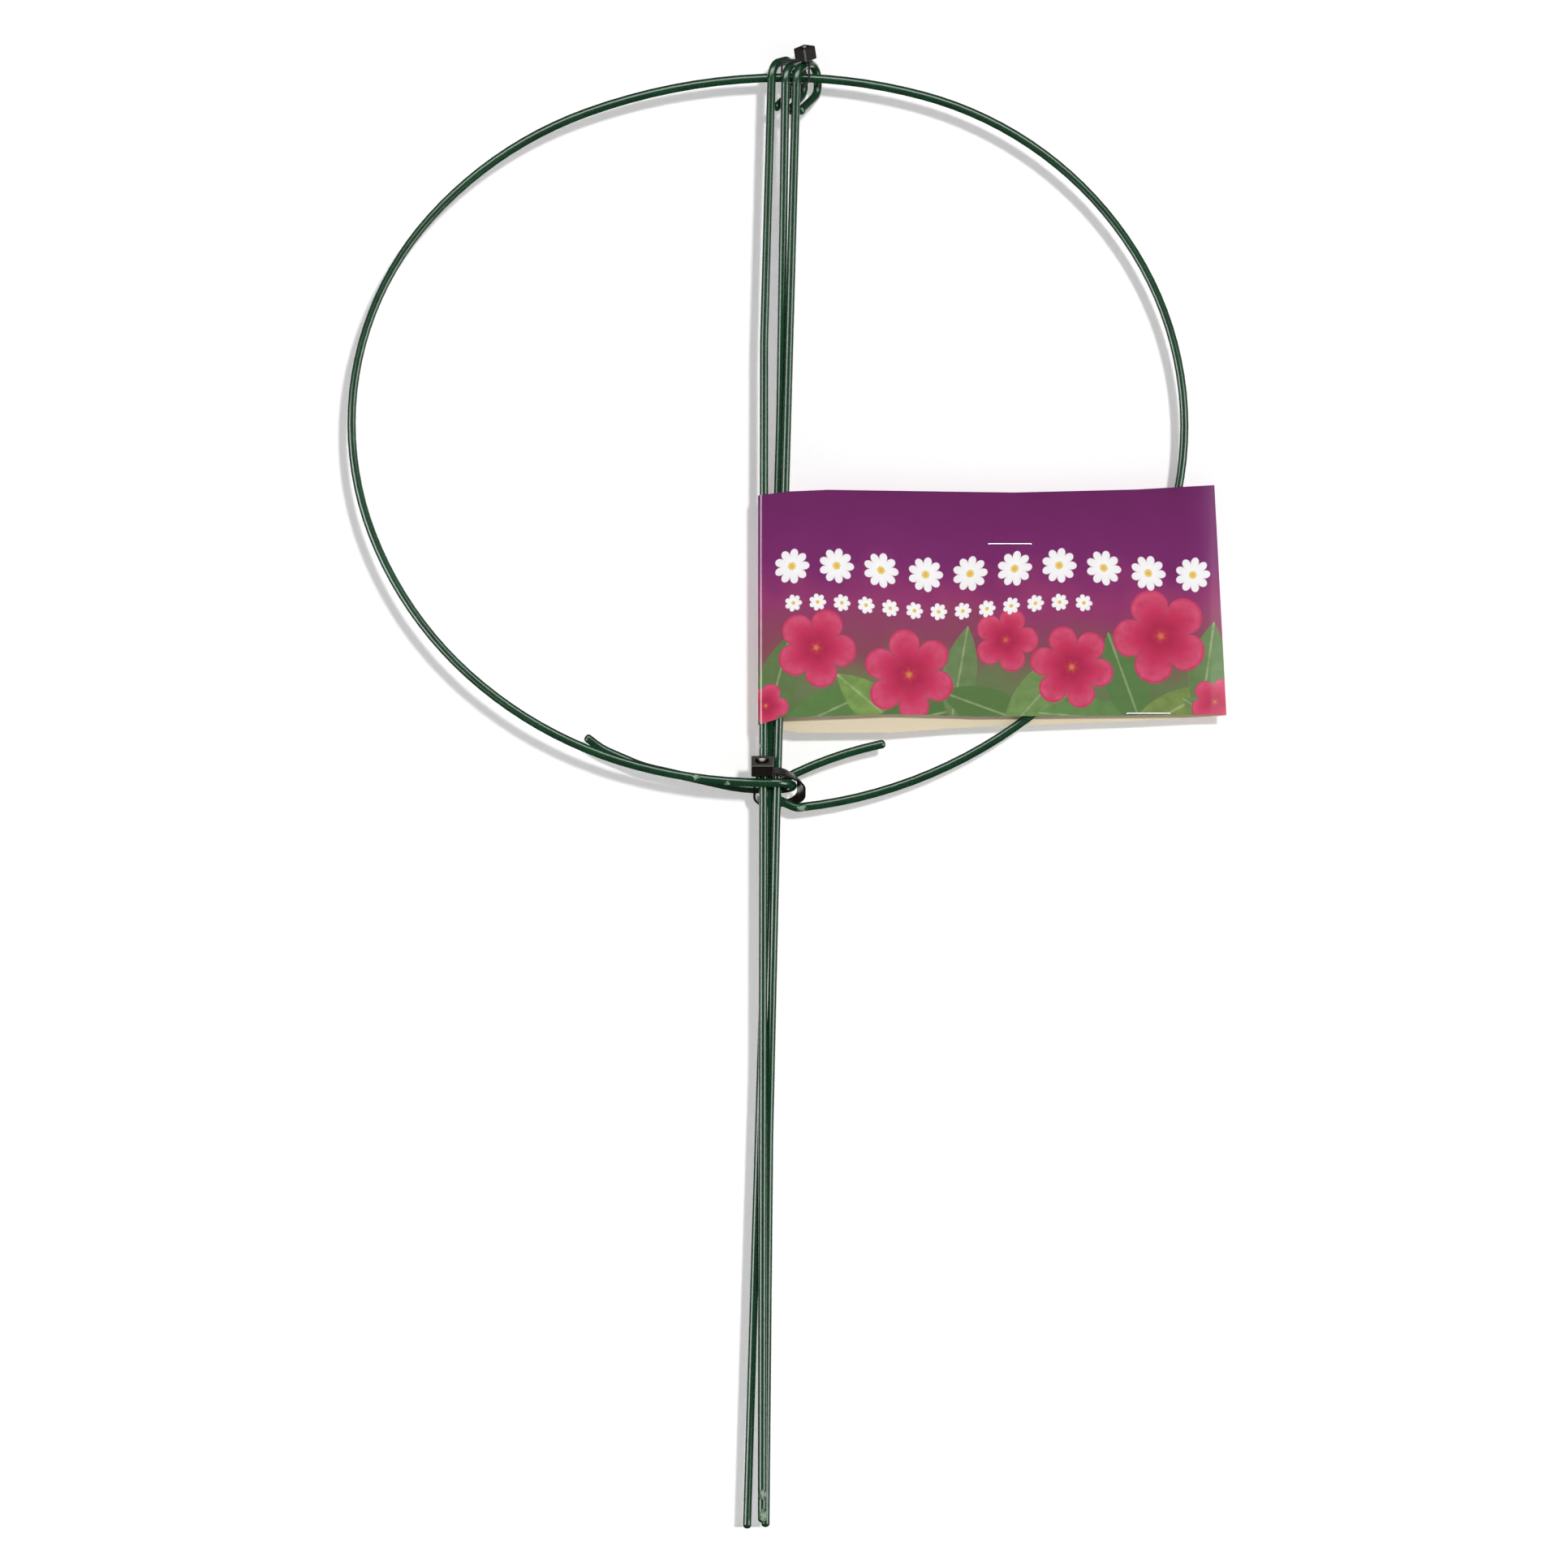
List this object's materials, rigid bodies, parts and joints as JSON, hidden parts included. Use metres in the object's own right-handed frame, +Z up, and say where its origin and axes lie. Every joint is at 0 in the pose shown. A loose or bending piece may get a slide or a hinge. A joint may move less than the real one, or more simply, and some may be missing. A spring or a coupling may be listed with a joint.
{
  "type": "grow through plant support",
  "caption": "Plastic-coated wire hoop with hooked ends and hanging wire legs, bundled flat with cable ties and a stapled folded label card, for holding up garden plants.",
  "frame": {"origin": "on the ground plane under the bundle of leg tips", "axes": "+Z up along the legs, +X to the viewer's right across the hoop, +Y away from the viewer"},
  "size_m": [0.4541, 0.0357, 0.7665],
  "materials": {
    "steel_wire": "drawn mild steel wire",
    "green_coating": "semi-gloss dip coat, deep green",
    "black_nylon": "moulded nylon, brown-black",
    "printed_card": "coated board, printed outside, cream inside",
    "staple_wire": "zinc-plated wire"
  },
  "bodies": {
    "hoop": {"hoop_core": "steel_wire", "hoop_coating": "green_coating", "bottom_cable_tie": "black_nylon"},
    "left_leg": {"left_leg_core": "steel_wire", "left_leg_coating": "green_coating"},
    "tied_legs": {"middle_leg_core": "steel_wire", "middle_leg_coating": "green_coating", "right_leg_core": "steel_wire", "right_leg_coating": "green_coating", "top_cable_tie": "black_nylon"},
    "label": {"label_card": "printed_card", "upper_staple": "staple_wire", "lower_staple": "staple_wire"}
  },
  "joints": [
    {"name": "left_leg_slide", "type": "slide", "parent": "hoop", "child": "left_leg", "axis": [0, 0, 1], "range_m": [-0.0005, 0.0075]},
    {"name": "tied_legs_slide", "type": "slide", "parent": "hoop", "child": "tied_legs", "axis": [0, 0, 1], "range_m": [0, 0.009]},
    {"name": "label_slide", "type": "slide", "parent": "hoop", "child": "label", "axis": [0, 0, 1], "range_m": [-0.003, 0.03]}
  ]
}
